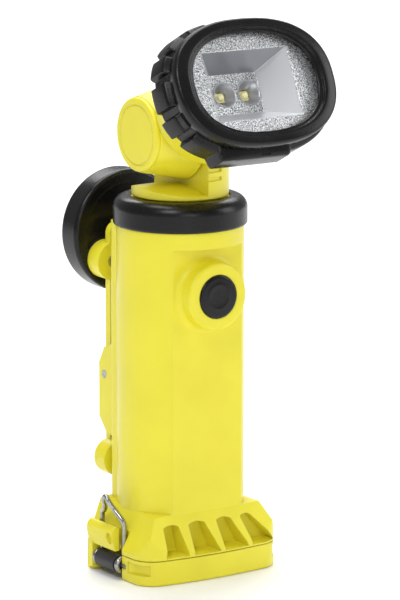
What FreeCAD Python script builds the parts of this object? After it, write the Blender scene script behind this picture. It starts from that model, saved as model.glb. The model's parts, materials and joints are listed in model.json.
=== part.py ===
"""Articulating-head firefighter worklight: a parametric FreeCAD document.

Millimetres, +Z up.  The origin is the middle of the resting face of the foot.
The switch looks along -Y, the clip and magnet along +Y and the battery door latch along -X.
"""
import FreeCAD, Part
import math
import os

from FreeCAD import Placement, Rotation, Vector

doc = FreeCAD.newDocument("Worklight")
sheet = doc.addObject("Spreadsheet::Sheet", "Sizes")

# name, value in millimetres or degrees, meaning
SIZES = [
    ("body_radius", 22.7, "radius of the round body"),
    ("body_top", 125, "underside of the rubber ring"),
    ("back_half", 18.2, "half width of the flat back"),
    ("back_depth", 19.9, "flat back, along +Y"),
    ("flat_depth", 17.5, "flat front panel, along -Y"),
    ("collar_radius", 17.9, "collar that the rubber ring sits on"),
    ("ring_radius", 23.9, "rubber ring, outside"),
    ("ring_top", 135.4, "top of the rubber ring"),
    ("door_height", 9, "height of the battery door"),
    ("seam", 0.3, "gap between neighbouring bodies"),
    ("fit", 0.05, "running clearance of a pin in its bore"),
    ("foot_half", 29.4, "half width of the foot"),
    ("foot_front", 22.4, "front of the foot at its corners"),
    ("foot_bulge", 1.4, "bow of the front edge of the foot"),
    ("foot_corner", 8.7, "corner radius of the foot"),
    ("flare_top", 24, "top of the flare above the foot"),
    ("bay_half", 16.5, "battery bay, half width"),
    ("bay_front", 10, "battery bay, along -Y"),
    ("bay_back", 12, "battery bay, along +Y"),
    ("bay_top", 116, "ceiling of the battery bay"),
    ("deck_top", 118, "floor of the swivel socket"),
    ("cell_radius", 7.2, "battery cell"),
    ("cell_length", 50, "battery cell, with its button"),
    ("cell_spread", 7.7, "middle of each cell row from the axis"),
    ("cell_floor", 11.4, "underside of the lower cells"),
    ("switch_height", 102.2, "middle of the switch"),
    ("switch_radius", 7.75, "rubber push button"),
    ("switch_travel", 1.5, "travel of the push button"),
    ("boss_radius", 12, "raised collar round the button"),
    ("boss_depth", 24.2, "face of that collar, along -Y"),
    ("neck_radius", 17.3, "swivelling disc and neck"),
    ("disc_floor", 135.7, "underside of the swivelling disc"),
    ("ridge", 139.8, "ridge of the roof on the disc"),
    ("spigot_radius", 12, "spigot of the neck in the casing"),
    ("stem_radius", 9, "stem below the spigot"),
    ("pivot_height", 158, "tilt axis of the head"),
    ("head_tilt", 26, "angle of the head above level"),
    ("lobe_radius", 17.2, "knuckle lobes at the joint plane"),
    ("lobe_end", 13.4, "knuckle lobe at its outer end"),
    ("lobe_length", 16.5, "knuckle lobe, from the joint plane"),
    ("joint_gap", 0.35, "half of the gap between the lobes"),
    ("bolt_radius", 3, "tilt pivot bolt"),
    ("shell_width", 30.3, "head shell, half width"),
    ("shell_height", 21.6, "head shell, half height"),
    ("shell_wall", 1.8, "head shell wall"),
    ("shell_rear", 37.5, "where the head shell reaches full size"),
    ("shell_front", 49.6, "front of the head shell"),
    ("bezel_width", 32.2, "rubber bezel, half width"),
    ("bezel_height", 23.1, "rubber bezel, half height"),
    ("bezel_front", 54, "front of the bezel from the tilt axis"),
    ("lug_proud", 1.5, "how far the grip lugs stand out"),
    ("opening_width", 25, "lens opening, half width"),
    ("opening_height", 17.8, "lens opening, half height"),
    ("lens_front", 51.9, "front of the lens from the tilt axis"),
    ("lens_thick", 1.6, "lens"),
    ("funnel_width", 35.4, "reflector funnel mouth"),
    ("funnel_height", 25, "reflector funnel mouth"),
    ("floor_width", 19, "reflector floor"),
    ("floor_height", 14.4, "reflector floor"),
    ("reflector_face", 49.4, "front of the reflector"),
    ("reflector_floor", 38.6, "floor of the reflector funnel"),
    ("led_spread", 5, "each light source from the head axis"),
    ("clip_axis_y", 27, "clip pin, along +Y"),
    ("clip_axis_z", 67, "clip pin, height"),
    ("clip_half", 12.4, "half width of the clip arm"),
    ("arm_inside", 27, "inner face of the clip arm"),
    ("arm_thick", 3, "clip arm"),
    ("magnet_radius", 22.5, "magnet in its rubber cup"),
    ("magnet_height", 117, "middle of the magnet"),
    ("magnet_near", 34, "inner face of the magnet cup"),
    ("magnet_far", 44.4, "outer face of the magnet cup"),
    ("latch_x", -28.5, "latch axle"),
    ("latch_z", 5.3, "latch axle, height"),
    ("roller_radius", 3.3, "black roller on the latch axle"),
    ("axle_radius", 1.2, "latch axle"),
    ("wire_radius", 0.95, "wire of the bail"),
    ("hinge_x", 30.2, "door hinge pin"),
    ("hinge_z", 9.15, "door hinge pin, height"),
    ("barrel_radius", 2.2, "door hinge barrels"),
]

for row, (alias, value, meaning) in enumerate(SIZES, start=1):
    sheet.set(f"A{row}", str(value))
    sheet.setAlias(f"A{row}", alias)
    sheet.set(f"B{row}", meaning)
doc.recompute()


def size(alias):
    """The value of one cell of the sheet."""
    return float(sheet.get(alias))


# ---------------------------------------------------------------- building helpers

def bind(obj, **expressions):
    """Bind properties of an object to expressions, or set them where a number is given."""
    for name, value in expressions.items():
        if isinstance(value, str):
            obj.setExpression(name, value)
        else:
            setattr(obj, name, value)
    return obj


TURN = {
    "Z": Rotation(),
    "X": Rotation(Vector(0, 1, 0), 90),
    "-X": Rotation(Vector(0, 1, 0), -90),
    "Y": Rotation(Vector(1, 0, 0), -90),
    "-Y": Rotation(Vector(1, 0, 0), 90),
}


def put(obj, at=(0, 0, 0), axis="Z"):
    """Place an object; each coordinate is a number or an expression."""
    numbers = [0 if isinstance(value, str) else value for value in at]
    obj.Placement = Placement(Vector(*numbers), TURN[axis])
    for letter, value in zip("xyz", at):
        if isinstance(value, str):
            obj.setExpression(f"Placement.Base.{letter}", value)
    return obj


def cylinder(radius, length, at=(0, 0, 0), axis="Z"):
    obj = bind(doc.addObject("Part::Cylinder", "Cylinder"), Radius=radius, Height=length)
    return put(obj, at, axis)


def cone(radius_1, radius_2, length, at=(0, 0, 0), axis="Z"):
    obj = bind(doc.addObject("Part::Cone", "Cone"), Radius1=radius_1, Radius2=radius_2, Height=length)
    return put(obj, at, axis)


def torus(radius, wire, at=(0, 0, 0), axis="Z"):
    return put(bind(doc.addObject("Part::Torus", "Torus"), Radius1=radius, Radius2=wire), at, axis)


def box(length, width, height, at):
    """A box whose middle is at `at` in X and Y, standing on its Z."""
    obj = bind(doc.addObject("Part::Box", "Box"), Length=length, Width=width, Height=height)
    sizes = (length, width, 0)
    corner = [f"({value}) - ({extent}) / 2" for value, extent in zip(at, sizes)]
    return put(obj, corner)


def oval(half_width, half_height, rear, front):
    """An elliptical bar along -Y, from the plane Y = -rear to Y = -front."""
    ellipse = doc.addObject("Part::Ellipse", "Ellipse")
    bind(ellipse, MajorRadius=half_width, MinorRadius=half_height)
    put(ellipse, (0, f"-({rear})", 0), "-Y")
    bar = doc.addObject("Part::Extrusion", "Bar")
    bar.Base = ellipse
    bar.DirMode = "Custom"
    bar.Dir = Vector(0, -1, 0)
    bar.Solid = True
    return bind(bar, LengthFwd=f"({front}) - ({rear})")


def loft(*sections):
    """A straight loft through ovals given as (half width, half height, distance along -Y)."""
    ellipses = []
    for half_width, half_height, along in sections:
        ellipse = doc.addObject("Part::Ellipse", "Ellipse")
        bind(ellipse, MajorRadius=half_width, MinorRadius=half_height)
        ellipses.append(put(ellipse, (0, f"-({along})", 0), "-Y"))
    obj = doc.addObject("Part::Loft", "Loft")
    obj.Sections = ellipses
    obj.Solid = True
    return obj


def wedge(width_1, height_1, along_1, width_2, height_2, along_2):
    """A four-sided funnel along -Y between two rectangles about the Y axis."""
    obj = doc.addObject("Part::Wedge", "Wedge")
    bind(obj,
         Xmin=f"-({width_1}) / 2", Xmax=f"({width_1}) / 2",
         Zmin=f"-({height_1}) / 2", Zmax=f"({height_1}) / 2",
         X2min=f"-({width_2}) / 2", X2max=f"({width_2}) / 2",
         Z2min=f"-({height_2}) / 2", Z2max=f"({height_2}) / 2",
         Ymin=f"-({along_1})", Ymax=f"-({along_2})")
    return obj


def taper(bottom, low, top, high):
    """A four-sided taper from height `low` to `high`; its ends are (half width, front, back)."""
    obj = doc.addObject("Part::Wedge", "Taper")
    half_1, front_1, back_1 = bottom
    half_2, front_2, back_2 = top
    bind(obj, Ymin=low, Ymax=high,
         Xmin=f"-({half_1})", Xmax=half_1, Zmin=f"-({back_1})", Zmax=front_1,
         X2min=f"-({half_2})", X2max=half_2, Z2min=f"-({back_2})", Z2max=front_2)
    return put(obj, axis="-Y")


def fuse(*shapes):
    obj = doc.addObject("Part::MultiFuse", "Fuse")
    obj.Shapes = list(shapes)
    obj.Refine = True
    return obj


def common(*shapes):
    obj = doc.addObject("Part::MultiCommon", "Common")
    obj.Shapes = list(shapes)
    return obj


def cut(base, *tools):
    obj = doc.addObject("Part::Cut", "Cut")
    obj.Base = base
    obj.Tool = tools[0] if len(tools) == 1 else fuse(*tools)
    obj.Refine = True
    return obj


def round_off(base, radius, chosen):
    """Fillet the edges of `base` for which chosen(edge) is true."""
    doc.recompute()
    edges = [index for index, edge in enumerate(base.Shape.Edges, start=1) if chosen(edge)]
    if not edges:
        raise ValueError(f"{base.Label}: no edge to round")
    obj = doc.addObject("Part::Fillet", "Fillet")
    obj.Base = base
    obj.Edges = [(index, radius, radius) for index in edges]
    return obj


def middle(edge):
    """The point half way along an edge."""
    return edge.valueAt((edge.FirstParameter + edge.LastParameter) / 2)


def plate(role, outline, thickness, at=(0, 0, 0), midplane=False):
    """Pad a closed outline drawn on an origin plane.

    The outline is a list of points; a point of four numbers is reached by an arc
    through its last two numbers.
    """
    body = doc.addObject("PartDesign::Body", "Body")
    sketch = body.newObject("Sketcher::SketchObject", "Outline")
    plane = [feature for feature in body.Origin.OriginFeatures if feature.Role == role][0]
    sketch.AttachmentSupport = [(plane, "")]
    sketch.MapMode = "FlatFace"
    for start, end in zip(outline, outline[1:] + outline[:1]):
        first = Vector(start[0], start[1], 0)
        last = Vector(end[0], end[1], 0)
        if len(end) == 4:
            sketch.addGeometry(Part.Arc(first, Vector(end[2], end[3], 0), last), False)
        else:
            sketch.addGeometry(Part.LineSegment(first, last), False)
    pad = body.newObject("PartDesign::Pad", "Pad")
    pad.Profile = sketch
    bind(pad, Length=thickness, Midplane=midplane)
    return put(body, at)


parts = {}


def keep(name, obj, head=False):
    """Give a finished piece its name; a piece of the head is also tilted about its pivot."""
    obj.Label = name
    if head:
        obj.Placement = Placement(Vector(), Rotation(Vector(-1, 0, 0), size("head_tilt")))
        obj.setExpression("Placement.Base.z", "Sizes.pivot_height")
        obj.setExpression("Placement.Rotation.Angle", "Sizes.head_tilt")
    parts[name] = obj
    return obj


def screw(radius, length, head_radius, head_length, at, axis):
    """A plain screw: shank along `axis` from `at`, head behind it."""
    shank = cylinder(radius, length, at, axis)
    back = {"Y": (0, -1, 0), "-Y": (0, 1, 0), "Z": (0, 0, -1)}[axis]
    head_at = [value + step * head_length for value, step in zip(at, back)]
    return fuse(shank, cylinder(head_radius, head_length, head_at, axis))


# ---------------------------------------------------------------- casing

NOTCH_FRONT = -7      # the latch stands in a notch of the foot between these two Y
NOTCH_BACK = 13.5
REAR_LUG = 29.9       # rear lug of the latch axle, half width of the foot there
LUG_BACK = 15
SIDE_END = 8          # the right side of the foot is straight back to this Y


def foot_outline(notch):
    """Plan of the foot, with the latch notch cut back to X = -notch."""
    half = size("foot_half")
    front = -size("foot_front")
    corner = size("foot_corner")
    inner = half - corner
    bite = corner * (1 - math.sqrt(0.5))
    back_half = size("back_half")
    back = size("back_depth")
    return [
        (-inner, front, bite - half, front + bite),
        (inner, front, 0, front - size("foot_bulge")),
        (half, front + corner, half - bite, front + bite),
        (half, SIDE_END),
        (back_half, back),
        (-back_half, back),
        (-REAR_LUG, LUG_BACK),
        (-REAR_LUG, NOTCH_BACK),
        (-notch, NOTCH_BACK),
        (-notch, NOTCH_FRONT),
        (-half, NOTCH_FRONT),
        (-half, front + corner),
    ]


# pockets between the foot ribs: left and right at the floor, left and right at the top
RIB_GAPS = [(-20.3, -11.2, -19.8, -13.4), (-9, 2, -9.2, -2.2), (3.9, 14.2, 2.6, 8.8), (16.2, 27, 12.8, 17.5)]
POCKET_FLOOR = 9.9
POCKET_TOP = 20
POCKET_BACK = 14.2
CHAMBER_BACK = 9      # switch chamber, from the battery bay out to the front wall
CHAMBER_FRONT = 16
HINGE_HALF = 5.1      # middle barrel of the door hinge, half length
HINGE_END = 10
BRACKET_SCREWS = (52, 77)   # heights of the clip bracket's screws
FLAT_TOP = 119        # upper edge of the flat front panel
BOSS_BLEND = 2.2      # hollow radius where the switch collar rises from the panel


def hinge_barrel(start, end, radius="Sizes.barrel_radius"):
    return cylinder(radius, end - start, ("Sizes.hinge_x", start, "Sizes.hinge_z"), "Y")


def rib_pocket(floor_left, floor_right, top_left, top_right):
    depth = 14
    outline = [(floor_left, POCKET_FLOOR), (floor_right, POCKET_FLOOR), (top_right, POCKET_TOP),
               (top_left, POCKET_TOP, (top_left + top_right) / 2, POCKET_TOP + 0.8)]
    return plate("XZ_Plane", outline, depth, (0, -POCKET_BACK - depth / 2, 0), midplane=True)


def main_casing():
    skirt = "Sizes.door_height + Sizes.seam"
    tall = "Sizes.body_top - Sizes.door_height - Sizes.seam"
    barrel = cylinder("Sizes.body_radius", tall, (0, 0, skirt))
    back = box("2 * Sizes.back_half", "Sizes.back_depth", tall, (0, "Sizes.back_depth / 2", skirt))
    edge_y = size("back_depth") - 1
    back = round_off(back, 4, lambda edge: abs(edge.tangentAt(0).z) > 0.9 and middle(edge).y > edge_y)
    flat = box(40, 20, FLAT_TOP, (0, "-Sizes.flat_depth - 10", 0))
    behind = box(60, 10, "Sizes.body_top", (0, "Sizes.back_depth + 5", 0))
    tube = cut(fuse(barrel, back), flat, behind)
    prism = plate("XY_Plane", foot_outline(26), f"Sizes.flare_top - ({skirt})", (0, 0, skirt))
    slopes = taper(("Sizes.foot_half + 1", "Sizes.foot_front + 1.8", 30), skirt,
                   ("Sizes.body_radius - 0.4", "Sizes.flat_depth - 0.2", 30), "Sizes.flare_top")
    flare = common(prism, slopes)
    boss = cylinder("Sizes.boss_radius", "Sizes.boss_depth", (0, 0, "Sizes.switch_height"), "-Y")
    boss = round_off(boss, 1, lambda edge: middle(edge).y < -size("boss_depth") + 0.1)
    front_y = -size("flat_depth")
    front = round_off(fuse(tube, boss), BOSS_BLEND,
                      lambda edge: edge.Closed and abs(middle(edge).y - front_y) < 0.01)
    collar = cylinder("Sizes.collar_radius", "Sizes.ring_top - Sizes.body_top - 1", (0, 0, "Sizes.body_top"))
    hinges = [hinge_barrel(-HINGE_END, -HINGE_HALF), hinge_barrel(HINGE_HALF, HINGE_END)]
    solid = fuse(front, flare, collar, *hinges)

    bay_width = "Sizes.bay_front + Sizes.bay_back"
    bay_middle = "(Sizes.bay_back - Sizes.bay_front) / 2"
    bay = box("2 * Sizes.bay_half", bay_width, "Sizes.bay_top", (0, bay_middle, 0))
    stem_bore = cylinder("Sizes.stem_radius + Sizes.fit", 10, (0, 0, "Sizes.bay_top - 5"))
    nut_room = cylinder(11.8, 2.6, (0, 0, "Sizes.bay_top - 2.6"))
    socket = cylinder("Sizes.spigot_radius + Sizes.fit", 20, (0, 0, "Sizes.deck_top"))
    chamber = box(21, CHAMBER_FRONT - CHAMBER_BACK, 22,
                  (0, -(CHAMBER_FRONT + CHAMBER_BACK) / 2, "Sizes.switch_height - 11"))
    switch_bore = cylinder("Sizes.switch_radius + 0.1", 30, (0, -12, "Sizes.switch_height"), "-Y")
    pockets = [rib_pocket(*corners) for corners in RIB_GAPS]
    pin_bore = hinge_barrel(-HINGE_END - 1, HINGE_END + 1, "1 + Sizes.fit")
    door_barrel_room = hinge_barrel(-HINGE_HALF, HINGE_HALF, "Sizes.barrel_radius + Sizes.seam")
    screw_holes = [cylinder(1.3, 8, (0, 14, height), "Y") for height in BRACKET_SCREWS]
    return cut(solid, bay, stem_bore, nut_room, socket, chamber, switch_bore, *pockets, pin_bore,
               door_barrel_room, *screw_holes)


def rubber_ring():
    ring = cylinder("Sizes.ring_radius", "Sizes.ring_top - Sizes.body_top", (0, 0, "Sizes.body_top"))
    top = size("ring_top") - 0.1
    base = size("body_top") + 0.1
    ring = round_off(ring, 4.4, lambda edge: middle(edge).z > top)
    ring = round_off(ring, 1, lambda edge: edge.Closed and middle(edge).z < base)
    return cut(ring, cylinder("Sizes.collar_radius", 12, (0, 0, "Sizes.body_top - 0.5")))


# ---------------------------------------------------------------- battery door and its latch

SLOT = (10, 3.9, 1.5)        # charging slot in each front corner of the door: length, height, depth
DOOR_FLOOR = 3


def battery_door():
    rim = plate("XY_Plane", foot_outline(23.6), "Sizes.door_height")
    rim = round_off(rim, 1, lambda edge: middle(edge).z < 0.1 and middle(edge).y < NOTCH_FRONT - 0.5)
    well = box("2 * Sizes.bay_half + 1", "Sizes.bay_front + Sizes.bay_back + 1", 10,
               (0, "(Sizes.bay_back - Sizes.bay_front) / 2", DOOR_FLOOR))
    slots = []
    for side in (-1, 1):
        slot = doc.addObject("Part::Box", "Slot")
        length, height, depth = SLOT
        bind(slot, Length=length, Width=2 * depth, Height=height)
        turned = Rotation(Vector(0, 0, 1), 70 * side)
        corner = Vector(side * (size("foot_half") - 0.7), -16, 5.7 - height / 2)
        slot.Placement = Placement(corner - turned.multVec(Vector(length / 2, depth, 0)), turned)
        slots.append(slot)
    middle_barrel = hinge_barrel(-HINGE_HALF + 0.1, HINGE_HALF - 0.1)
    rooms = [hinge_barrel(-HINGE_END - 0.1, -HINGE_HALF + 0.1, "Sizes.barrel_radius + Sizes.seam"),
             hinge_barrel(HINGE_HALF - 0.1, HINGE_END + 0.1, "Sizes.barrel_radius + Sizes.seam")]
    pin_bore = hinge_barrel(-HINGE_END, HINGE_END, "1 + Sizes.fit")
    axle_bore = cylinder("Sizes.axle_radius", 25, ("Sizes.latch_x", AXLE_START, "Sizes.latch_z"), "Y")
    groove = gasket(0)
    return cut(fuse(cut(rim, well, *slots, *rooms), middle_barrel), pin_bore, axle_bore, groove)


GASKET_FLOOR = 7.6


def gasket(proud):
    """The square gasket, or with proud = 0 the groove that it lies in."""
    depth = f"Sizes.door_height + ({proud}) - {GASKET_FLOOR}"
    place = (0, "(Sizes.bay_back - Sizes.bay_front) / 2", GASKET_FLOOR)
    outer = box("2 * Sizes.bay_half + 4.4", "Sizes.bay_front + Sizes.bay_back + 4.4", depth, place)
    inner = box("2 * Sizes.bay_half + 2", "Sizes.bay_front + Sizes.bay_back + 2", "2 * Sizes.door_height",
                place)
    return cut(outer, inner)


AXLE_START = -9.5
AXLE_END = 14.9
WIRE_FRONT = -5.8     # the two legs of the bail
WIRE_BACK = 8.7


def latch_axle():
    return cylinder("Sizes.axle_radius", AXLE_END - AXLE_START,
                    ("Sizes.latch_x", AXLE_START, "Sizes.latch_z"), "Y")


def latch_roller():
    start = WIRE_FRONT + 1.1
    length = WIRE_BACK - WIRE_FRONT - 2.2
    roller = cylinder("Sizes.roller_radius", length, ("Sizes.latch_x", start, "Sizes.latch_z"), "Y")
    bore = cylinder("Sizes.axle_radius + Sizes.fit", length, ("Sizes.latch_x", start, "Sizes.latch_z"), "Y")
    return cut(roller, bore)


def latch_lever():
    """The yellow thumb block and its arm beside the roller."""
    block = plate("XZ_Plane", [
        (-29, 10.2), (-29, 18.2), (-29.7, 18.9, -29.2, 18.7), (-30.4, 18.8), (-31.9, 16, -31.5, 17.8),
        (-31.3, 12.2, -31.8, 14), (-30.8, 10.2),
    ], 16.9, (0, 3.75, 0), midplane=True)
    arm = plate("XZ_Plane", [
        (-26.2, 2), (-26.2, 12), (-28.9, 14), (-31.2, 13), (-31.2, 2), (-30.2, 0.9, -30.9, 1.2),
        (-27.2, 0.9),
    ], 2.6, (0, 11.2, 0), midplane=True)
    dimple = cylinder(2, 3, (-30.6, -2.2, 14.6), "-X")
    bore = cylinder("Sizes.axle_radius + Sizes.fit", 5, ("Sizes.latch_x", 9, "Sizes.latch_z"), "Y")
    return cut(fuse(block, arm), dimple, bore)


# the bail's wire from its front eye over the tip: X, Y, Z
BAIL_TIP = (-30.7, 1.45, 29)
BAIL_LEG_TOP = 18.5


def wire_bail():
    radius = size("wire_radius")
    x_leg = -27.6
    route = []
    for side, leg in ((-1, WIRE_FRONT), (1, WIRE_BACK)):
        centre = BAIL_TIP[1]
        route.append([
            Vector(x_leg, leg, size("latch_z") + 2.1),
            Vector(x_leg, leg, BAIL_LEG_TOP),
            Vector(-28.3, centre + side * 5.4, 22.4),
            Vector(-29.4, centre + side * 2.6, 25.2),
            Vector(BAIL_TIP[0], centre + side * 1.2, 28.2),
        ])
    points = route[0] + [Vector(*BAIL_TIP)] + route[1][::-1]
    legs = [Part.LineSegment(points[0], points[1]), Part.LineSegment(points[-2], points[-1])]
    top = Part.BSplineCurve()
    top.interpolate(points[1:-1], InitialTangent=Vector(0, 0, 1), FinalTangent=Vector(0, 0, -1))
    path = Part.Wire([legs[0].toShape(), top.toShape(), legs[1].toShape()])
    ring = Part.Wire([Part.Circle(points[0], Vector(0, 0, 1), radius).toShape()])
    swept = path.makePipeShell([ring], True, False)
    for leg in (WIRE_FRONT, WIRE_BACK):
        eye = Part.makeTorus(size("axle_radius") + radius + 0.1, radius,
                             Vector(size("latch_x"), leg, size("latch_z")), Vector(0, 1, 0))
        swept = swept.fuse(eye)
    axle = Part.makeCylinder(size("axle_radius") + size("fit"), 40,
                             Vector(size("latch_x"), -20, size("latch_z")), Vector(0, 1, 0))
    obj = doc.addObject("Part::Feature", "Bail")
    obj.Shape = swept.cut(axle)
    return obj


# ---------------------------------------------------------------- power

PLATE_TOP = DOOR_FLOOR + 0.6
CELL_ROW = 1          # the cells stand this far behind the axis
SPRING_RADIUS = 2.3   # the coil springs of the battery door and of the clip
SPRING_WIRE = 0.5
SPRING_TURNS = 5


def door_contact():
    return box("2 * Sizes.cell_spread + 14", 13, PLATE_TOP - DOOR_FLOOR, (0, CELL_ROW, DOOR_FLOOR))


def coil(radius, wire, height, turns, at, axis="Z"):
    """A coil spring as one swept wire."""
    helix = Part.makeHelix(height / turns, height, radius)
    section = Part.Wire([Part.Circle(Vector(radius, 0, 0), Vector(0, 1, 0), wire).toShape()])
    obj = doc.addObject("Part::Feature", "Coil")
    obj.Shape = Part.Wire(helix.Edges).makePipeShell([section], True, True)
    return put(obj, at, axis)


def door_springs():
    floor = PLATE_TOP + SPRING_WIRE
    tall = size("cell_floor") - floor - SPRING_WIRE - 0.1
    springs = doc.addObject("Part::Compound", "Springs")
    springs.Links = [coil(SPRING_RADIUS, SPRING_WIRE, tall, SPRING_TURNS,
                          (side * size("cell_spread"), CELL_ROW, floor)) for side in (-1, 1)]
    return springs


BUTTON_TALL = 1.4     # the contact button on top of a cell


def battery_cells():
    cells = []
    for side in (-1, 1):
        for layer in (0, 1):
            at_x = f"{side} * Sizes.cell_spread"
            floor = f"Sizes.cell_floor + {layer} * (Sizes.cell_length + 0.2)"
            can = cylinder("Sizes.cell_radius", f"Sizes.cell_length - {BUTTON_TALL}", (at_x, CELL_ROW, floor))
            button = cylinder(2.7, BUTTON_TALL,
                              (at_x, CELL_ROW, f"{floor} + Sizes.cell_length - {BUTTON_TALL}"))
            cells.append(fuse(can, button))
    obj = doc.addObject("Part::Compound", "Cells")
    obj.Links = cells
    return obj


def battery_carrier():
    tall = "2 * Sizes.cell_length + 0.2"
    block = box("2 * Sizes.cell_spread + 16", 16, tall, (0, CELL_ROW, "Sizes.cell_floor"))
    bores = [cylinder("Sizes.cell_radius + 0.1", 120, (f"{side} * Sizes.cell_spread", CELL_ROW, 0))
             for side in (-1, 1)]
    windows = [box(40, 12, 34, (0, CELL_ROW, f"Sizes.cell_floor + 8 + {layer} * Sizes.cell_length"))
               for layer in (0, 1)]
    return cut(block, *bores, *windows)


BOARD_FLOOR = 111.8


def top_board():
    board = box(31, 17, 1.4, (0, CELL_ROW, BOARD_FLOOR))
    return cut(board, cylinder(1.1, 5, (0, CELL_ROW, BOARD_FLOOR - 1)))


# ---------------------------------------------------------------- switch

def switch_boot():
    dome = cylinder("Sizes.switch_radius", "Sizes.boss_depth + 0.8 - 15.8", (0, -15.8, "Sizes.switch_height"),
                    "-Y")
    face = -size("boss_depth") - 0.7
    dome = round_off(dome, 0.9, lambda edge: middle(edge).y < face)
    flange = cylinder(9.4, 1, (0, -14.8, "Sizes.switch_height"), "-Y")
    return fuse(dome, flange)


def switch_plunger():
    return cylinder(2.5, 0.7, (0, -14.1, "Sizes.switch_height"), "-Y")


def switch_board():
    board = box(21, 1.2, 20, (0, -10.9, "Sizes.switch_height - 10"))
    return fuse(board, box(12, 1.6, 5, (0, -9.6, "Sizes.switch_height - 9")))


def tact_switch():
    return box(6, 1, 6, (0, -12, "Sizes.switch_height - 3"))


# ---------------------------------------------------------------- swivelling neck

STEM_FLOOR = 113.8
WIRE_WAY = (4.4, 0)       # the hole for the leads, off the axis towards the solid half of the neck
NECK_FLAT = "Sizes.joint_gap"


GRIP_HEIGHTS = (142, 145, 148)    # undersides of the grip grooves on the neck


def swivel_neck():
    disc = cylinder("Sizes.neck_radius", "Sizes.ridge - Sizes.disc_floor", (0, 0, "Sizes.disc_floor"))
    low = size("disc_floor") + 1
    ridge = size("ridge")
    half = size("neck_radius") + 1
    roof = plate("YZ_Plane", [(-half, size("disc_floor") - 1), (half, size("disc_floor") - 1), (half, low),
                              (1, ridge), (-half, low)], 2 * half, midplane=True)
    disc = common(disc, roof)
    column = common(
        cylinder("Sizes.neck_radius", "Sizes.pivot_height - Sizes.disc_floor", (0, 0, "Sizes.disc_floor")),
        box("Sizes.neck_radius", "2 * Sizes.neck_radius", 60,
            ("Sizes.neck_radius / 2 + Sizes.joint_gap", 0, "Sizes.disc_floor")))
    lobe = cone("Sizes.lobe_radius", "Sizes.lobe_end", "Sizes.lobe_length",
                (NECK_FLAT, 0, "Sizes.pivot_height"), "X")
    spigot = cylinder("Sizes.spigot_radius", "Sizes.disc_floor - Sizes.deck_top - 0.2 + 0.5",
                      (0, 0, "Sizes.deck_top + 0.2"))
    stem = cylinder("Sizes.stem_radius", 10, (0, 0, STEM_FLOOR))
    leads = cylinder(2.6, 36, (*WIRE_WAY, STEM_FLOOR - 1))
    bolt = cylinder("Sizes.bolt_radius + Sizes.fit", 30, (-1, 0, "Sizes.pivot_height"), "X")
    nut_room = cylinder(6, 12, (12, 0, "Sizes.pivot_height"), "X")
    groove = cut(cylinder(13, 1.8, (0, 0, O_RING_HEIGHT - 0.9)),
                 cylinder(10.8, 3, (0, 0, O_RING_HEIGHT - 1.5)))
    grips = [common(cut(cylinder("Sizes.neck_radius + 1", 1.3, (0, 0, height)),
                        cylinder("Sizes.neck_radius - 0.6", 3, (0, 0, height - 1))),
                    box(6.4, 40, 10, (3.6, -20, height - 4)))
             for height in GRIP_HEIGHTS]
    return cut(fuse(disc, column, lobe, spigot, stem), leads, bolt, nut_room, groove, *grips)


O_RING_HEIGHT = 126


def swivel_seal():
    return torus(11.55, 0.5, (0, 0, O_RING_HEIGHT))


def swivel_nut():
    nut = cylinder(11.4, 1.9, (0, 0, STEM_FLOOR + 0.1))
    notches = [box(3, 3, 4, (11.4 * math.cos(turn), 11.4 * math.sin(turn), STEM_FLOOR - 1))
               for turn in (math.radians(60 * step) for step in range(6))]
    return cut(nut, cylinder("Sizes.stem_radius", 4, (0, 0, STEM_FLOOR - 1)), *notches)


def lead_wires():
    leads = doc.addObject("Part::Compound", "Leads")
    leads.Links = [cylinder(0.7, 31, (WIRE_WAY[0], side * 0.9, STEM_FLOOR + 0.2)) for side in (-1, 1)]
    return leads


def pivot_bolt():
    shank = cylinder("Sizes.bolt_radius", 26.8, (-11.3, 0, "Sizes.pivot_height"), "X")
    head = cylinder(5.6, 2.6, (-11.3, 0, "Sizes.pivot_height"), "-X")
    return fuse(shank, head)


def pivot_nut():
    corner = 5.4
    outline = [(corner * math.cos(turn), corner * math.sin(turn))
               for turn in (math.radians(60 * step) for step in range(6))]
    nut = plate("YZ_Plane", outline, 3, (12.1, 0, "Sizes.pivot_height"))
    return cut(nut, cylinder("Sizes.bolt_radius", 8, (11, 0, "Sizes.pivot_height"), "X"))


def friction_washer():
    thick = "2 * Sizes.joint_gap - 0.1"
    washer = cylinder(11, thick, ("-Sizes.joint_gap + 0.05", 0, "Sizes.pivot_height"), "X")
    return cut(washer, cylinder("Sizes.bolt_radius + 0.1", 4, (-2, 0, "Sizes.pivot_height"), "X"))


# ---------------------------------------------------------------- head, about its own pivot, level

CAP_SEAT = -11.2      # floor of the counterbore under the pivot cap
CAP_RADIUS = 13.2


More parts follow.
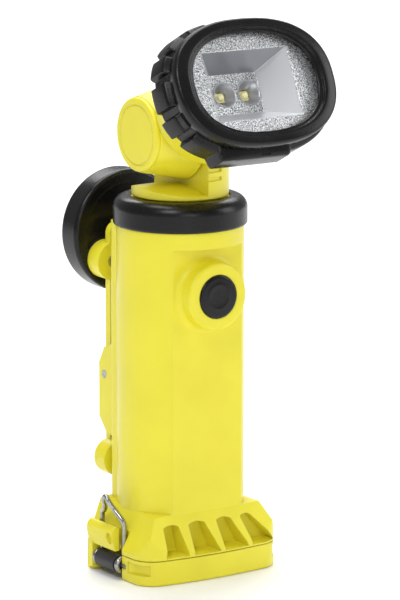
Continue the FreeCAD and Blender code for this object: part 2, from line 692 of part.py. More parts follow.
def head_housing():
    lobe = cone("Sizes.lobe_radius", "Sizes.lobe_end", "Sizes.lobe_length", ("-Sizes.joint_gap", 0, 0), "-X")
    taper = loft((17.2, 16.6, 13), ("Sizes.shell_width", "Sizes.shell_height", "Sizes.shell_rear"))
    shell = oval("Sizes.shell_width", "Sizes.shell_height", "Sizes.shell_rear - 0.2", "Sizes.shell_front")
    inner_taper = loft((14, 13, 22), ("Sizes.shell_width - Sizes.shell_wall",
                                      "Sizes.shell_height - Sizes.shell_wall", "Sizes.shell_rear"))
    inner = oval("Sizes.shell_width - Sizes.shell_wall", "Sizes.shell_height - Sizes.shell_wall",
                 "Sizes.shell_rear - 0.2", "Sizes.shell_front + 1")
    neck_room = fuse(cylinder("Sizes.lobe_radius + 0.7", 50, ("-Sizes.joint_gap", 0, 0), "X"),
                     box(50, 40, 60, ("25 - Sizes.joint_gap", "20 - Sizes.lobe_radius - 1.8", -30)))
    bolt = cylinder("Sizes.bolt_radius + Sizes.fit", 30, (5, 0, 0), "-X")
    cap_room = cylinder(9, 20, (CAP_SEAT, 0, 0), "-X")
    cap_rim_room = cylinder(CAP_RADIUS + 0.1, 20, ("-Sizes.joint_gap - Sizes.lobe_length", 0, 0), "-X")
    outer = cut(fuse(taper, shell), neck_room)
    return cut(fuse(lobe, outer), inner_taper, inner, bolt, cap_room, cap_rim_room)


def pivot_cap():
    rim = cylinder(CAP_RADIUS, 1.6, ("-Sizes.joint_gap - Sizes.lobe_length", 0, 0), "-X")
    outside = -size("joint_gap") - size("lobe_length") - 1.5
    rim = round_off(rim, 1, lambda edge: middle(edge).x < outside)
    plug = cylinder(8.9, 2.2, ("-Sizes.joint_gap - Sizes.lobe_length + 2.2", 0, 0), "-X")
    dish = torus(10.6, 0.35, (outside - 0.1, 0, 0), "X")
    return cut(fuse(rim, plug), dish)


LUG_FRONT = 46.5
LUG_REAR = 38.6
LUG_COUNT = 16


def bezel():
    sleeve = oval("Sizes.bezel_width", "Sizes.bezel_height", "Sizes.shell_rear", "Sizes.bezel_front")
    front = size("bezel_front") - 0.1
    sleeve = round_off(sleeve, 2.2, lambda edge: middle(edge).y < -front)
    ring = cut(oval("Sizes.bezel_width + Sizes.lug_proud", "Sizes.bezel_height + Sizes.lug_proud",
                    LUG_REAR, LUG_FRONT),
               oval("Sizes.bezel_width - 0.6", "Sizes.bezel_height - 0.6", LUG_REAR - 1, LUG_FRONT + 1))
    gaps = []
    for step in range(LUG_COUNT):
        turn = 360 / LUG_COUNT * (step + 0.5)
        if abs(turn - 270) < 40:
            continue
        gap = doc.addObject("Part::Box", "Gap")
        bind(gap, Length=40, Width=20, Height=2.6)
        turned = Rotation(Vector(0, 1, 0), -turn)
        gap.Placement = Placement(turned.multVec(Vector(0, -52, -1.3)), turned)
        gaps.append(gap)
    tab = box(34, 7, 5, (-2, -43, -26.2))
    body = fuse(sleeve, cut(ring, *gaps), tab)
    opening = oval("Sizes.opening_width", "Sizes.opening_height", 20, 60)
    bore = oval("Sizes.shell_width", "Sizes.shell_height", "Sizes.shell_rear - 1", "Sizes.bezel_front - 1.9")
    return cut(body, opening, bore)


def lens():
    return oval("Sizes.shell_width - 1", "Sizes.shell_height - 1", "Sizes.lens_front - Sizes.lens_thick",
                "Sizes.lens_front")


def lens_gasket():
    rear = "Sizes.shell_front + 0.02"
    front = "Sizes.lens_front - Sizes.lens_thick"
    return cut(oval("Sizes.shell_width", "Sizes.shell_height", rear, front),
               oval("Sizes.shell_width - 2.4", "Sizes.shell_height - 2.4", 30, 60))


CUP_REAR = 35.2
CUP_MOUTH = 4.1
CUP_FLOOR = 1.9


def reflector():
    wide = "Sizes.shell_width - Sizes.shell_wall - 0.2"
    high = "Sizes.shell_height - Sizes.shell_wall - 0.2"
    flange = oval(wide, high, "Sizes.reflector_face - 1.5", "Sizes.reflector_face")
    outside = wedge("Sizes.funnel_width + 3", "Sizes.funnel_height + 3", "Sizes.reflector_face - 0.5",
                    "Sizes.floor_width + 3", "Sizes.floor_height + 3", "Sizes.reflector_floor - 1.5")
    inside = wedge("Sizes.funnel_width", "Sizes.funnel_height", "Sizes.reflector_face + 0.01",
                   "Sizes.floor_width", "Sizes.floor_height", "Sizes.reflector_floor")
    cups = []
    hollows = []
    for side in (-1, 1):
        at_x = f"{side} * Sizes.led_spread"
        cups.append(cylinder(4.9, 3, (at_x, "-Sizes.reflector_floor + 0.2", 0), "Y"))
        hollows.append(cone(CUP_MOUTH, CUP_FLOOR, f"Sizes.reflector_floor - {CUP_REAR} + 0.1",
                            (at_x, "-Sizes.reflector_floor - 0.05", 0), "Y"))
    return cut(fuse(flange, outside, *cups), inside, *hollows)


def light_source(side):
    base = box(3.4, 0.9, 3.4, (f"{side} * Sizes.led_spread", -34.9, -1.7))
    dome = doc.addObject("Part::Sphere", "Dome")
    bind(dome, Radius=1.3)
    put(dome, (f"{side} * Sizes.led_spread", -35.8, 0))
    return fuse(base, dome)


def led_board():
    board = oval(13, 9, 33, 34.4)
    holes = [cylinder(1.1, 20, (side * 10.6, -25, 0), "-Y") for side in (-1, 1)]
    return cut(board, *holes)


def heat_sink():
    block = oval(12.5, 9.5, 24.5, 33)
    slots = [box(1.6, 5, 30, (4 * step, -25.5, -15)) for step in range(-2, 3)]
    holes = [cylinder(0.9, 20, (side * 10.6, -25, 0), "-Y") for side in (-1, 1)]
    return cut(block, *slots, *holes)


def led_screws():
    screws = doc.addObject("Part::Compound", "Screws")
    screws.Links = [screw(0.85, 4.6, 1.7, 0.8, (side * 10.6, -34.4, 0), "Y") for side in (-1, 1)]
    return screws


# ---------------------------------------------------------------- clip and magnet on the back

LUG_OUTSIDE = 15
BASE_TOP = 2.4        # thickness of the bracket's base plate
MAGNET_BOSS_X = 10.5  # the two bosses and screws that carry the magnet
MAGNET_BOSS_Z = 108


def clip_bracket():
    y_base = size("back_depth")
    y_pin = size("clip_axis_y")
    z_pin = size("clip_axis_z")
    y_lug = y_pin + 3.4
    profile = [(y_base, 45), (y_base, 80), (y_pin, z_pin + 10), (y_lug, z_pin + 4), (y_lug, z_pin - 16),
               (y_pin - 1.5, 45.5)]
    block = plate("YZ_Plane", profile, 2 * LUG_OUTSIDE, midplane=True)
    room = box("2 * Sizes.clip_half + 0.6", 20, 60, (0, f"Sizes.back_depth + {BASE_TOP} + 10", 35))
    pin = cylinder("1.5 + Sizes.fit", 40, (-20, "Sizes.clip_axis_y", "Sizes.clip_axis_z"), "X")
    holes = [cylinder(1.6, 10, (0, 17, height), "Y") for height in BRACKET_SCREWS]
    return cut(block, room, pin, *holes)


def bracket_screws():
    screws = doc.addObject("Part::Compound", "Screws")
    start = size("back_depth") + BASE_TOP + 0.05
    screws.Links = [screw(1.25, 6.5, 2.8, 1.2, (0, start, height), "-Y") for height in BRACKET_SCREWS]
    return screws


def clip_pin():
    return cylinder(1.5, 2 * LUG_OUTSIDE, (-LUG_OUTSIDE, "Sizes.clip_axis_y", "Sizes.clip_axis_z"), "X")


def clip_arm():
    width = "2 * Sizes.clip_half"
    blade = box(width, "Sizes.arm_thick", 94, (0, "Sizes.arm_inside + Sizes.arm_thick / 2", 28))
    blade = round_off(blade, 4, lambda edge: abs(edge.tangentAt(0).y) > 0.9)
    barrel = cylinder(3.4, width, ("-Sizes.clip_half", "Sizes.clip_axis_y", "Sizes.clip_axis_z"), "X")
    spring_room = box(9, 9.4, 12, (0, "Sizes.clip_axis_y", "Sizes.clip_axis_z - 6"))
    uppers = [cylinder(7, "Sizes.magnet_near - Sizes.arm_inside", (side * MAGNET_BOSS_X, "Sizes.arm_inside",
                                                                   MAGNET_BOSS_Z), "Y")
              for side in (-1, 1)]
    pads = [cylinder(6.4, "Sizes.arm_inside - Sizes.back_depth - Sizes.seam",
                     (side * 13, "Sizes.arm_inside", 36.8), "-Y") for side in (-1, 1)]
    pin = cylinder("1.5 + Sizes.fit", 40, (-20, "Sizes.clip_axis_y", "Sizes.clip_axis_z"), "X")
    holes = [cylinder(1.6, 12, (side * MAGNET_BOSS_X, "Sizes.arm_inside - 1", MAGNET_BOSS_Z), "Y")
             for side in (-1, 1)]
    return cut(fuse(blade, barrel, *uppers, *pads), spring_room, pin, *holes)


def clip_spring():
    length = 7
    return coil(SPRING_RADIUS, SPRING_WIRE, length, SPRING_TURNS,
                (-length / 2, "Sizes.clip_axis_y", "Sizes.clip_axis_z"), "X")


def magnet_cup():
    cup = cylinder("Sizes.magnet_radius", "Sizes.magnet_far - Sizes.magnet_near",
                   (0, "Sizes.magnet_near", "Sizes.magnet_height"), "Y")
    cup = round_off(cup, 1.6, lambda edge: edge.Closed)
    dish = cut(cylinder(18, 1, (0, "Sizes.magnet_near - 0.01", "Sizes.magnet_height"), "Y"),
               *[cylinder(7.4, 5, (side * MAGNET_BOSS_X, "Sizes.magnet_near - 1", MAGNET_BOSS_Z), "Y")
                 for side in (-1, 1)])
    hollow = cylinder(19.6, 6.4, (0, "Sizes.magnet_near + 2.8", "Sizes.magnet_height"), "Y")
    holes = [cylinder(1.6, 5, (side * MAGNET_BOSS_X, "Sizes.magnet_near - 1", MAGNET_BOSS_Z), "Y")
             for side in (-1, 1)]
    return cut(cup, dish, hollow, *holes)


def magnet_plate():
    steel = cylinder(19.6, 1.4, (0, "Sizes.magnet_near + 2.8", "Sizes.magnet_height"), "Y")
    holes = [cylinder(1.5, 5, (side * MAGNET_BOSS_X, "Sizes.magnet_near", MAGNET_BOSS_Z), "Y")
             for side in (-1, 1)]
    return cut(steel, *holes)


def magnet():
    disc = cylinder(19.6, 5, (0, "Sizes.magnet_near + 4.2", "Sizes.magnet_height"), "Y")
    return disc


def magnet_screws():
    screws = doc.addObject("Part::Compound", "Screws")
    start = size("arm_inside") - 0.02
    screws.Links = [screw(1.5, 11.2, 2.6, 1, (side * MAGNET_BOSS_X, start, MAGNET_BOSS_Z), "Y")
                    for side in (-1, 1)]
    return screws


# ---------------------------------------------------------------- the parts

CASING_SIDE = [main_casing, rubber_ring, battery_carrier, battery_cells, top_board, switch_board,
               tact_switch, clip_bracket, bracket_screws, clip_pin, clip_spring]
DOOR_SIDE = [battery_door, door_contact, door_springs, latch_axle, latch_roller, latch_lever, wire_bail]
MOVING = [switch_boot, switch_plunger, swivel_neck, swivel_seal, swivel_nut, lead_wires, pivot_bolt,
          pivot_nut, friction_washer, clip_arm, magnet_cup, magnet_plate, magnet, magnet_screws]
HEAD = [head_housing, pivot_cap, bezel, lens, lens_gasket, reflector, led_board, heat_sink, led_screws]

for maker in CASING_SIDE + DOOR_SIDE + MOVING:
    keep(maker.__name__, maker())
for maker in HEAD:
    keep(maker.__name__, maker(), head=True)

keep("door_gasket", gasket("Sizes.seam - 0.05"))
keep("door_hinge_pin", hinge_barrel(-HINGE_END, HINGE_END, 1))
keep("spot_led", light_source(-1), head=True)
keep("flood_led", light_source(1), head=True)

doc.recompute()

faults = [obj.Label for obj in doc.Objects if {"Invalid", "Error"} & set(obj.State)]
for name, obj in parts.items():
    if obj.Shape.isNull() or not obj.Shape.isValid() or not obj.Shape.Solids:
        faults.append(name)
if faults:
    raise RuntimeError("not sound: " + ", ".join(faults))

os.makedirs("parts", exist_ok=True)
for name, obj in parts.items():
    obj.Shape.exportStep(f"parts/{name}.step")
    print(f"{name:18s} {len(obj.Shape.Solids):2d} solid(s) {obj.Shape.Volume:10.1f} mm3")
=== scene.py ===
"""Looks of the articulating-head work light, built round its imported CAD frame.

Metres, +Z up; the switch looks along -Y.  Pieces of the head are drawn level about the tilt pivot,
then turned to the angle at which the frame holds the head.
"""
import json
import math

import bmesh
import bpy
from mathutils import Matrix, Vector


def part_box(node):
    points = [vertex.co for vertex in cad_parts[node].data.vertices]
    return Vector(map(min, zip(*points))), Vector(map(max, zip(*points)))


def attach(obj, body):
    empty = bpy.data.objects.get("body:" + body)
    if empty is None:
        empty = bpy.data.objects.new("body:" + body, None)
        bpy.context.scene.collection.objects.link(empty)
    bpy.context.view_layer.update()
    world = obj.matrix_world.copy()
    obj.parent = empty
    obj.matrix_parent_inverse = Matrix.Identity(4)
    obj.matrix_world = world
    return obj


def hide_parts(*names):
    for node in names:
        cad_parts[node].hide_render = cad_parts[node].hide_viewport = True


MM = 0.001

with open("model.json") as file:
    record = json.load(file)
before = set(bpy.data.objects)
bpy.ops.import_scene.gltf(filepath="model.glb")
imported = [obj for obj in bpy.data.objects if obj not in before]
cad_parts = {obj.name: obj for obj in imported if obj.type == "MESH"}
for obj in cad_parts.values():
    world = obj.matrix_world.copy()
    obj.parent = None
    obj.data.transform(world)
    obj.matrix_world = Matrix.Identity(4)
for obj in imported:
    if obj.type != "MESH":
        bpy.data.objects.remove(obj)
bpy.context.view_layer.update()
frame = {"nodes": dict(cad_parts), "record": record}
NODES = frame["nodes"]
NODES_BOX = {name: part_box(name) for name in NODES}

PIVOT = Vector((0, 0, 158 * MM))
HEAD_TILT = math.radians(26)
HEAD_TURN = Matrix.Translation(PIVOT) @ Matrix.Rotation(HEAD_TILT, 4, Vector((-1, 0, 0)))
HEAD_AIM = HEAD_TURN.to_3x3() @ Vector((0, -1, 0))
HEAD_UP = HEAD_TURN.to_3x3() @ Vector((0, 0, 1))


# ---------------------------------------------------------------- materials

class Nodes:
    """Short names for building one material's node tree."""

    def __init__(self, name):
        self.material = bpy.data.materials.new(name)
        self.material.use_nodes = True
        self.tree = self.material.node_tree
        self.tree.nodes.clear()
        self.shader = self.add("ShaderNodeBsdfPrincipled")
        self.output = self.add("ShaderNodeOutputMaterial")
        self.link(self.shader.outputs["BSDF"], self.output.inputs["Surface"])
        self.place = self.add("ShaderNodeTexCoord").outputs["Object"]

    def add(self, kind, **settings):
        node = self.tree.nodes.new(kind)
        for key, value in settings.items():
            setattr(node, key, value)
        return node

    def link(self, source, target):
        self.tree.links.new(source, target)

    def feed(self, socket, value):
        """Link a socket, or set it where a plain value is given."""
        if isinstance(value, bpy.types.NodeSocket):
            self.link(value, socket)
        else:
            socket.default_value = value

    def noise(self, scale, detail=2.0, stretch=None):
        node = self.add("ShaderNodeTexNoise")
        node.inputs["Scale"].default_value = scale
        node.inputs["Detail"].default_value = detail
        self.feed(node.inputs["Vector"], self.stretched(stretch) if stretch else self.place)
        return node.outputs["Fac"]

    def stretched(self, stretch):
        mapping = self.add("ShaderNodeMapping")
        mapping.inputs["Scale"].default_value = stretch
        self.link(self.place, mapping.inputs["Vector"])
        return mapping.outputs["Vector"]

    def math(self, operation, first, second=0.0):
        node = self.add("ShaderNodeMath", operation=operation)
        self.feed(node.inputs[0], first)
        self.feed(node.inputs[1], second)
        return node.outputs[0]

    def remap(self, value, low, high, to_low, to_high):
        node = self.add("ShaderNodeMapRange", clamp=True)
        self.feed(node.inputs["Value"], value)
        for key, number in (("From Min", low), ("From Max", high), ("To Min", to_low), ("To Max", to_high)):
            node.inputs[key].default_value = number
        return node.outputs["Result"]

    def mix(self, share, first, second):
        node = self.add("ShaderNodeMix", data_type="RGBA")
        self.feed(node.inputs["Factor"], share)
        self.feed(node.inputs[6], first)
        self.feed(node.inputs[7], second)
        return node.outputs[2]

    def bump(self, height, depth, normal):
        node = self.add("ShaderNodeBump")
        node.inputs["Strength"].default_value = 1.0
        node.inputs["Distance"].default_value = depth
        self.link(height, node.inputs["Height"])
        self.link(normal, node.inputs["Normal"])
        return node.outputs["Normal"]

    def rounded(self, radius):
        """The normal as if every edge had this radius."""
        node = self.add("ShaderNodeBevel", samples=6)
        node.inputs["Radius"].default_value = radius
        return node.outputs["Normal"]

    def edges(self, normal):
        """A mask that is 1 on the edges that a rounded normal softens."""
        dot = self.add("ShaderNodeVectorMath", operation="DOT_PRODUCT")
        self.link(normal, dot.inputs[0])
        self.link(self.add("ShaderNodeNewGeometry").outputs["Normal"], dot.inputs[1])
        return self.remap(dot.outputs["Value"], 0.995, 0.85, 0.0, 1.0)


def rgb(red, green, blue):
    return (red, green, blue, 1.0)


def moulded(name, colour, shade, worn, roughness, grain, depth, radius, shine=0.5):
    """Moulded plastic or rubber: grain, faint colour drift, handled patches and rubbed edges."""
    n = Nodes(name)
    drift = n.remap(n.noise(38.0, 3.0), 0.35, 0.65, 0.0, 1.0)
    base = n.mix(drift, shade, colour)
    soft = n.rounded(radius)
    rubbed = n.math("MULTIPLY", n.edges(soft), n.remap(n.noise(420.0, 4.0), 0.45, 0.65, 0.0, 0.55))
    n.link(n.mix(rubbed, base, worn), n.shader.inputs["Base Color"])
    scuffs = n.remap(n.noise(900.0, 2.0, (1.0, 1.0, 0.06)), 0.62, 0.78, 0.0, 0.10)
    patches = n.remap(n.noise(75.0, 4.0), 0.3, 0.7, roughness - 0.05, roughness + 0.06)
    n.link(n.math("ADD", patches, scuffs), n.shader.inputs["Roughness"])
    height = n.math("ADD", n.noise(grain, 2.0), n.math("MULTIPLY", n.noise(grain * 0.22, 2.0), 0.8))
    n.link(n.bump(height, depth, soft), n.shader.inputs["Normal"])
    n.shader.inputs["Specular IOR Level"].default_value = shine
    return n.material


def metal(name, colour, dull, roughness, grain, depth, stretch=(1.0, 1.0, 1.0), radius=0.0002):
    """Bare or plated metal with a drawn grain and dull spots."""
    n = Nodes(name)
    spots = n.remap(n.noise(260.0, 5.0), 0.45, 0.75, 0.0, 1.0)
    n.link(n.mix(spots, colour, dull), n.shader.inputs["Base Color"])
    n.shader.inputs["Metallic"].default_value = 1.0
    n.link(n.remap(n.noise(500.0, 3.0, stretch), 0.3, 0.7, roughness * 0.75, roughness * 1.35),
           n.shader.inputs["Roughness"])
    n.link(n.bump(n.noise(grain, 3.0, stretch), depth, n.rounded(radius)), n.shader.inputs["Normal"])
    return n.material


def clear_plastic():
    """The lens: clear, with a faint haze of fine scratches; lamps shine through it."""
    n = Nodes("clear_lens")
    n.shader.inputs["Base Color"].default_value = rgb(0.97, 0.985, 0.98)
    n.shader.inputs["Transmission Weight"].default_value = 1.0
    n.shader.inputs["IOR"].default_value = 1.46
    scratches = n.noise(1500.0, 3.0, (1.0, 0.1, 0.4))
    n.link(n.remap(scratches, 0.55, 0.8, 0.01, 0.09), n.shader.inputs["Roughness"])
    open_to_lamps = n.add("ShaderNodeBsdfTransparent")
    chooser = n.add("ShaderNodeMixShader")
    n.link(n.add("ShaderNodeLightPath").outputs["Is Shadow Ray"], chooser.inputs["Fac"])
    n.link(n.shader.outputs["BSDF"], chooser.inputs[1])
    n.link(open_to_lamps.outputs["BSDF"], chooser.inputs[2])
    n.link(chooser.outputs["Shader"], n.output.inputs["Surface"])
    return n.material


def plated():
    """Smooth bright plating of the cups, with a faint cloud in it and a painted highlight round their edges.
    """
    n = Nodes("chrome_cup")
    cone = n.mix(n.noise(700.0, 2.0), rgb(0.40, 0.40, 0.42), rgb(0.52, 0.52, 0.54))
    # painted highlight: the cups' edges are painted near white
    n.link(n.mix(n.edges(n.rounded(0.3 * MM)), cone, rgb(0.95, 0.95, 0.96)), n.shader.inputs["Base Color"])
    n.shader.inputs["Metallic"].default_value = 1.0
    n.link(n.remap(n.noise(900.0), 0.3, 0.7, 0.32, 0.40), n.shader.inputs["Roughness"])
    return n.material


def along_head(n):
    """Distance in front of the tilt pivot, along the head."""
    dot = n.add("ShaderNodeVectorMath", operation="DOT_PRODUCT")
    n.link(n.place, dot.inputs[0])
    dot.inputs[1].default_value = HEAD_AIM
    return n.math("SUBTRACT", dot.outputs["Value"], PIVOT.dot(HEAD_AIM))


# distance in front of the pivot: the face lies past the first, the floor behind the second
REFLECTOR_FACE = 49.0 * MM
REFLECTOR_FLOOR = 38.9 * MM


def stippled_mirror():
    """Metallised reflector: peened face and floor, satin walls with the upper one painted darkest as a
    painted dark reflection, and painted highlights on the edges.
    """
    n = Nodes("bright_reflector")
    face = n.math("GREATER_THAN", along_head(n), REFLECTOR_FACE)
    floor_mask = n.math("LESS_THAN", along_head(n), REFLECTOR_FLOOR)
    peened = n.math("MAXIMUM", face, floor_mask)
    speckle = n.remap(n.noise(2700.0, 3.0), 0.44, 0.56, 0.0, 1.0)
    stipple = n.mix(speckle, rgb(0.14, 0.14, 0.16), rgb(0.97, 0.97, 0.98))
    # painted shade: walls that face down are painted darker, a painted dark reflection on the upper wall
    upward = n.add("ShaderNodeVectorMath", operation="DOT_PRODUCT")
    n.link(n.add("ShaderNodeNewGeometry").outputs["Normal"], upward.inputs[0])
    upward.inputs[1].default_value = HEAD_UP
    painted_shade_mask = n.remap(upward.outputs["Value"], -0.8, -0.3, 1.0, 0.0)
    walls = n.mix(painted_shade_mask, rgb(0.76, 0.76, 0.79), rgb(0.33, 0.33, 0.35))
    soft = n.rounded(0.35 * MM)
    surface = n.mix(peened, walls, stipple)
    # painted highlight: the edges are painted near white
    n.link(n.mix(n.edges(soft), surface, rgb(0.97, 0.97, 0.98)), n.shader.inputs["Base Color"])
    n.shader.inputs["Metallic"].default_value = 0.9
    n.link(n.remap(peened, 0.0, 1.0, 0.32, 0.36), n.shader.inputs["Roughness"])
    lumps = n.math("MULTIPLY", n.noise(2900.0, 2.0), n.remap(peened, 0.0, 1.0, 0.05, 1.0))
    n.link(n.bump(lumps, 0.2 * MM, soft), n.shader.inputs["Normal"])
    return n.material


CELLS_HIGH = 2
BAND_START = 0.72         # share of a cell's length below its pale band


def cell_sleeve():
    """Shrink sleeve of the cells, with a plain paler band round each."""
    n = Nodes("cell_wrap")
    split = n.add("ShaderNodeSeparateXYZ")
    n.link(n.place, split.inputs[0])
    low = NODES_BOX["battery_cells"][0].z
    span = (NODES_BOX["battery_cells"][1].z - low) / CELLS_HIGH
    share = n.math("FRACT", n.math("DIVIDE", n.math("SUBTRACT", split.outputs["Z"], low), span))
    band = n.math("GREATER_THAN", share, BAND_START)
    base = n.mix(band, rgb(0.05, 0.16, 0.10), rgb(0.62, 0.63, 0.60))
    n.link(n.mix(n.remap(n.noise(120.0, 3.0), 0.3, 0.7, 0.0, 0.25), base, rgb(0.02, 0.05, 0.04)),
           n.shader.inputs["Base Color"])
    n.link(n.remap(n.noise(300.0), 0.3, 0.7, 0.22, 0.4), n.shader.inputs["Roughness"])
    return n.material


def circuit_board():
    """Solder mask with faint traces under it."""
    n = Nodes("board_green")
    brick = n.add("ShaderNodeTexBrick")
    brick.inputs["Scale"].default_value = 330.0
    brick.inputs["Mortar Size"].default_value = 0.035
    brick.inputs["Color1"].default_value = rgb(0.02, 0.16, 0.07)
    brick.inputs["Color2"].default_value = rgb(0.03, 0.20, 0.08)
    brick.inputs["Mortar"].default_value = rgb(0.09, 0.34, 0.15)
    n.link(n.place, brick.inputs["Vector"])
    n.link(brick.outputs["Color"], n.shader.inputs["Base Color"])
    n.link(n.remap(n.noise(200.0), 0.3, 0.7, 0.25, 0.42), n.shader.inputs["Roughness"])
    return n.material


def phosphor():
    """Light source: cloudy pale phosphor under a clear coat."""
    n = Nodes("phosphor")
    n.link(n.mix(n.remap(n.noise(900.0, 2.0), 0.35, 0.65, 0.0, 1.0), rgb(0.96, 0.86, 0.28),
                 rgb(1.0, 0.96, 0.62)), n.shader.inputs["Base Color"])
    n.link(n.remap(n.noise(600.0), 0.3, 0.7, 0.12, 0.25), n.shader.inputs["Roughness"])
    n.shader.inputs["Coat Weight"].default_value = 0.8
    n.shader.inputs["Coat Roughness"].default_value = 0.04
    return n.material


BLACK = rgb(0.006, 0.006, 0.0065)
BLACK_SHADE = rgb(0.004, 0.004, 0.0045)
BLACK_WORN = rgb(0.03, 0.03, 0.032)
YELLOW = rgb(0.82, 0.74, 0.035)
YELLOW_SHADE = rgb(0.77, 0.69, 0.028)
YELLOW_WORN = rgb(0.88, 0.83, 0.20)

MATERIALS = {
    "yellow_nylon": moulded("yellow_nylon", YELLOW, YELLOW_SHADE, YELLOW_WORN, 0.36, 2600.0, 0.02 * MM,
                            0.5 * MM),
    "black_rubber": moulded("black_rubber", BLACK, BLACK_SHADE, BLACK_WORN, 0.25, 3200.0, 0.02 * MM,
                            0.4 * MM, 0.30),
    "dark_plastic": moulded("dark_plastic", rgb(0.03, 0.03, 0.034), rgb(0.02, 0.02, 0.023),
                            rgb(0.08, 0.08, 0.08), 0.45, 2400.0, 0.03 * MM, 0.3 * MM),
    "clear_lens": clear_plastic(),
    "bright_reflector": stippled_mirror(),
    "steel": metal("steel", rgb(0.40, 0.40, 0.39), rgb(0.24, 0.24, 0.23), 0.24, 1800.0, 0.01 * MM),
    "spring_brass": metal("spring_brass", rgb(0.80, 0.74, 0.62), rgb(0.55, 0.48, 0.36), 0.25, 1500.0,
                          0.01 * MM),
    "alloy": metal("alloy", rgb(0.62, 0.63, 0.65), rgb(0.48, 0.49, 0.51), 0.38, 1400.0, 0.03 * MM),
    "board_green": circuit_board(),
    "cell_wrap": cell_sleeve(),
    "magnet_dark": metal("magnet_dark", rgb(0.20, 0.20, 0.21), rgb(0.12, 0.12, 0.13), 0.45, 1200.0,
                         0.03 * MM),
    "phosphor": phosphor(),
    "lead_sleeve": moulded("lead_sleeve", rgb(0.42, 0.02, 0.015), rgb(0.30, 0.012, 0.01),
                           rgb(0.5, 0.1, 0.1), 0.4, 2000.0, 0.02 * MM, 0.2 * MM),
}

for part in frame["record"]["subparts"]:
    if part["node"] in NODES:
        mesh = NODES[part["node"]].data
        mesh.materials.clear()
        mesh.materials.append(MATERIALS[part["material_slot"]])


# ---------------------------------------------------------------- shape helpers

SHARP_ANGLE = math.radians(40)


def piece(name, points, faces, material, body, slot):
    """A new visible piece: one smooth-shaded mesh that rides on a body."""
    mesh = bpy.data.meshes.new(name)
    mesh.from_pydata(points, [], faces)
    work = bmesh.new()
    work.from_mesh(mesh)
    bmesh.ops.recalc_face_normals(work, faces=work.faces)
    work.to_mesh(mesh)
    work.free()
    mesh.materials.append(material)
    mesh.shade_smooth()
    mesh.set_sharp_from_angle(angle=SHARP_ANGLE)
    obj = bpy.data.objects.new(name, mesh)
    bpy.context.scene.collection.objects.link(obj)
    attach(obj, body)
    return obj


def skin(rings, closed_end=False, loop=False):
    """Points and faces of the surface through rings of equally many points; a loop closes on itself."""
    count = len(rings[0])
    points = [point for ring in rings for point in ring]
    pairs = list(zip(range(len(rings)), range(1, len(rings))))
    if loop:
        pairs.append((len(rings) - 1, 0))
    faces = [(a * count + i, a * count + (i + 1) % count, b * count + (i + 1) % count, b * count + i)
             for a, b in pairs for i in range(count)]
    if closed_end:
        faces.append(tuple(range(count)))
        faces.append(tuple((len(rings) - 1) * count + i for i in range(count)))
    return points, faces


def smooth_step(value):
    """Eases from 0 to 1, and stays there outside that range."""
    value = min(max(value, 0.0), 1.0)
    return value * value * (3 - 2 * value)


# ---------------------------------------------------------------- rubber bezel

BEZEL_STEPS = 640
BEZEL_FULLNESS = 2.4      # exponent of the outline, 2 being a plain ellipse
BEZEL_LUGS = 16
LUG_PROUD = 2.3
LUG_GAP = 3.4
LUG_BLEND = 0.8
LUG_CIRCLE = 27.5         # mean radius on which the gaps are measured
NO_GAPS = math.radians(40)      # half angle without gaps, above the tab
TAB_MIDDLE, TAB_HALF, TAB_BOTTOM = -4.0, 15.0, -25.4
TAB_BLEND = 1.2

# half width, half height and distance in front of the pivot of each ring; share of the lug's height
BEZEL_RINGS = [
    (30.34, 21.64, 38.0, 0), (30.7, 21.8, 37.55, 0.1), (31.2, 22.1, 37.55, 0.4), (31.4, 22.3, 37.75, 0.7),
    (31.4, 22.3, 38.1, 0.88), (31.4, 22.3, 38.5, 0.96), (31.4, 22.3, 39.1, 1), (31.4, 22.3, 42.5, 1),
    (31.4, 22.3, 45.6, 1), (31.4, 22.3, 46.6, 0.92), (31.4, 22.3, 47.1, 0.7), (31.4, 22.3, 47.35, 0.35),
    (31.4, 22.3, 47.7, 0.2), (31.3, 22.2, 47.9, 0), (31.3, 22.2, 48.6, 0), (31.9, 22.8, 48.8, 0),
    (32.2, 23.0, 49.2, 0), (32.2, 23.0, 52.3, 0), (32.05, 22.7, 52.9, 0), (31.6, 22.4, 53.4, 0),
    (31.0, 22.0, 53.55, 0), (29.4, 20.9, 53.85, 0), (28.0, 19.9, 54.0, 0), (27.3, 19.4, 53.95, 0),
    (26.9, 19.1, 53.75, 0), (26.75, 19.0, 53.3, 0), (26.6, 18.9, 53.1, 0), (25.6, 18.2, 52.95, 0),
    (25.15, 17.9, 52.75, 0), (25.0, 17.8, 52.5, 0), (25.0, 17.8, 52.12, 0), (30.34, 21.64, 52.12, 0),
]


def lug_height(turn):
    """How far the lugs stand up at an angle round the bezel, 0 in the gaps and 1 on the lugs."""
    pitch = 2 * math.pi / BEZEL_LUGS
    from_gap = abs((turn / pitch) % 1.0 - 0.5) * pitch
    across = from_gap * LUG_CIRCLE
    if abs(turn - 1.5 * math.pi) < NO_GAPS:
        return 1.0
    return smooth_step((across - LUG_GAP / 2 + LUG_BLEND / 2) / LUG_BLEND)


def full_oval(turn):
    """Direction of a point on the bezel's outline, for half sizes of 1."""
    power = 2 / BEZEL_FULLNESS
    across, up = math.cos(turn), math.sin(turn)
    return (math.copysign(abs(across) ** power, across), math.copysign(abs(up) ** power, up))


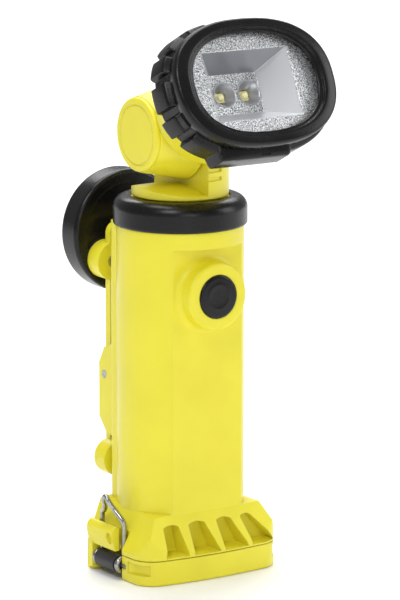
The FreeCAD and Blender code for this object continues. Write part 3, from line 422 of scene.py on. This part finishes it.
def bezel():
    """Rubber rim of the head: lugs round it and a tab under it."""
    rings = []
    for wide, high, along, share in BEZEL_RINGS:
        ring = []
        for step in range(BEZEL_STEPS):
            turn = 2 * math.pi * step / BEZEL_STEPS
            proud = LUG_PROUD * share * lug_height(turn)
            across, up = full_oval(turn)
            x = (wide + proud) * across
            z = (high + proud) * up
            if z < 0 and share:
                tab = smooth_step((TAB_HALF - abs(x - TAB_MIDDLE)) / TAB_BLEND)
                z += (TAB_BOTTOM - z) * tab * share if TAB_BOTTOM < z else 0
            ring.append(HEAD_TURN @ (Vector((x, -along, z)) * MM))
        rings.append(ring)
    obj = piece("bezel_grip", *skin(rings, loop=True), MATERIALS["black_rubber"], "head", "black_rubber")
    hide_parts("bezel")


# ---------------------------------------------------------------- push button

BUTTON_STEPS = 128
# radius and depth in front of the casing axis
BUTTON_PROFILE = [
    (9.4, 14.8), (9.4, 15.8), (7.75, 15.85), (7.75, 24.1), (7.68, 24.45), (7.45, 24.72), (7.1, 24.84),
    (6.3, 24.88), (4.7, 24.90), (4.5, 24.95), (4.1, 24.95), (3.9, 24.90), (2.0, 24.88), (0.5, 24.88),
]


def button():
    """Rubber push button with a faint raised ring."""
    middle_height = (NODES_BOX["switch_boot"][0].z + NODES_BOX["switch_boot"][1].z) / 2
    rings = []
    for radius, depth in BUTTON_PROFILE:
        rings.append([Vector((radius * MM * math.cos(turn), -depth * MM,
                              middle_height + radius * MM * math.sin(turn)))
                      for turn in (2 * math.pi * step / BUTTON_STEPS for step in range(BUTTON_STEPS))])
    obj = piece("push_button", *skin(rings, closed_end=True), MATERIALS["black_rubber"], "button",
                "black_rubber")
    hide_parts("switch_boot")


# ---------------------------------------------------------------- chrome cups round the light sources

CUP_STEPS = 72
LED_SPREAD = 5.0
# radius and distance in front of the pivot
CUP_PROFILE = [(2.05, 35.5), (2.9, 36.9), (3.7, 38.2), (4.05, 38.75), (4.2, 38.95), (4.4, 39.02),
               (4.6, 38.95), (4.7, 38.62)]


def light_cup(side, cup_finish):
    """Small plated cup round one light source, at one side of the head's middle."""
    rings = []
    for radius, along in CUP_PROFILE:
        rings.append([HEAD_TURN @ (Vector((side * LED_SPREAD + radius * math.cos(turn), -along,
                                           radius * math.sin(turn))) * MM)
                      for turn in (2 * math.pi * step / CUP_STEPS for step in range(CUP_STEPS))])
    name = "spot_cup" if side < 0 else "flood_cup"
    piece(name, *skin(rings), cup_finish, "head", "bright_reflector")



bezel()
button()
CUP_FINISH = plated()
light_cup(-1, CUP_FINISH)
light_cup(1, CUP_FINISH)


# ---------------------------------------------------------------- stage, lamps and camera

FLOOR_HALF = 3.0


def floor():
    n = Nodes("studio_floor")
    n.link(n.mix(n.remap(n.noise(3.0), 0.3, 0.7, 0.0, 1.0), rgb(0.90, 0.90, 0.90), rgb(0.93, 0.93, 0.93)),
           n.shader.inputs["Base Color"])
    n.shader.inputs["Roughness"].default_value = 0.8
    corners = [(across * FLOOR_HALF, along * FLOOR_HALF, 0)
               for across, along in ((-1, -1), (1, -1), (1, 1), (-1, 1))]
    mesh = bpy.data.meshes.new("floor")
    mesh.from_pydata(corners, [], [(0, 1, 2, 3)])
    mesh.materials.append(n.material)
    obj = bpy.data.objects.new("floor", mesh)
    bpy.context.scene.collection.objects.link(obj)


def lamp(name, at, size, power, aim=(0, 0, 0.1)):
    """A soft rectangular lamp that points at the object unless it is aimed elsewhere."""
    light = bpy.data.lights.new(name, "AREA")
    light.shape = "RECTANGLE"
    light.size, light.size_y = size
    light.energy = power
    obj = bpy.data.objects.new(name, light)
    bpy.context.scene.collection.objects.link(obj)
    obj.location = at
    obj.rotation_mode = "QUATERNION"
    obj.rotation_quaternion = (Vector(aim) - Vector(at)).to_track_quat("-Z", "Y")


SKY_STRENGTH = 0.32


def sky():
    world = bpy.data.worlds.new("studio")
    bpy.context.scene.world = world
    world.use_nodes = True
    background = world.node_tree.nodes["Background"]
    background.inputs["Color"].default_value = rgb(1.0, 1.0, 1.0)
    background.inputs["Strength"].default_value = SKY_STRENGTH


CAMERA_SIDE = math.radians(-33.47)
CAMERA_AWAY = 1.3327
CAMERA_HEIGHT = 0.3646
CAMERA_AIM = Vector((0, 0, 0.0919))
CAMERA_LENS = 229.3
CAMERA_SHIFT = (0.0331, 0.0237)


def camera():
    data = bpy.data.cameras.new("camera")
    data.sensor_width = 36
    data.lens = CAMERA_LENS
    data.shift_x, data.shift_y = CAMERA_SHIFT
    data.clip_start, data.clip_end = 0.05, 20
    obj = bpy.data.objects.new("camera", data)
    bpy.context.scene.collection.objects.link(obj)
    obj.location = (CAMERA_AWAY * math.sin(CAMERA_SIDE), -CAMERA_AWAY * math.cos(CAMERA_SIDE), CAMERA_HEIGHT)
    obj.rotation_mode = "QUATERNION"
    obj.rotation_quaternion = (CAMERA_AIM - obj.location).to_track_quat("-Z", "Y")
    bpy.context.scene.camera = obj


floor()
sky()
lamp("key", (-1.2, -0.9, 1.5), (0.7, 0.7), 12.5)
lamp("fill", (1.5, -0.9, 0.7), (0.8, 1.0), 8)
lamp("front", (-0.6, -1.9, 0.5), (0.9, 0.5), 4.5)
lamp("top", (0.0, 0.2, 1.7), (1.2, 1.0), 20)
lamp("backdrop", (1.5, 2.2, 1.9), (2.6, 2.6), 75, (1.5, 2.2, 0.0))
camera()
bpy.context.scene.view_settings.view_transform = "Standard"
